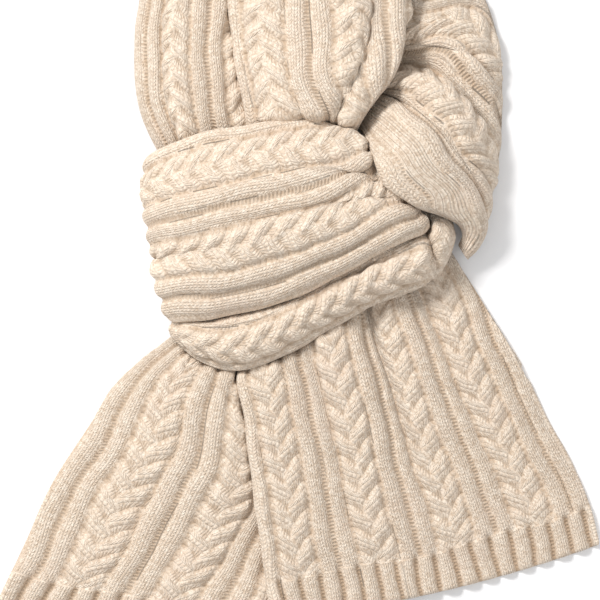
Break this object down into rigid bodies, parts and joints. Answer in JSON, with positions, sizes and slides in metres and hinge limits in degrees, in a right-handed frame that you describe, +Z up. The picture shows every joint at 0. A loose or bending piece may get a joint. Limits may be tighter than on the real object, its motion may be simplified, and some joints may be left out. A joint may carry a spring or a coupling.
{
  "type": "knit scarf",
  "caption": "Thick cable-knit scarf, doubled, pulled through its own loop and laid flat with both ribbed ends spread below the knot.",
  "frame": {"origin": "on the table under the middle of the laid scarf's bounding box", "axes": "+X to the wearer's left as the scarf lies face up, +Y along the scarf from the hems to the neck fold, +Z up from the table"},
  "size_m": [0.409, 0.5667, 0.053],
  "materials": {
    "wool": "soft matt oatmeal marl wool, cable knit with ribs between"
  },
  "bodies": {
    "root": {"left_tail": "wool", "right_tail": "wool", "neck_left": "wool", "neck_right": "wool", "right_loop": "wool", "wrap_upper": "wool", "wrap_lower": "wool", "knot_core": "wool", "under_neck_left": "wool", "under_neck_right": "wool", "under_loop": "wool"}
  },
  "joints": []
}
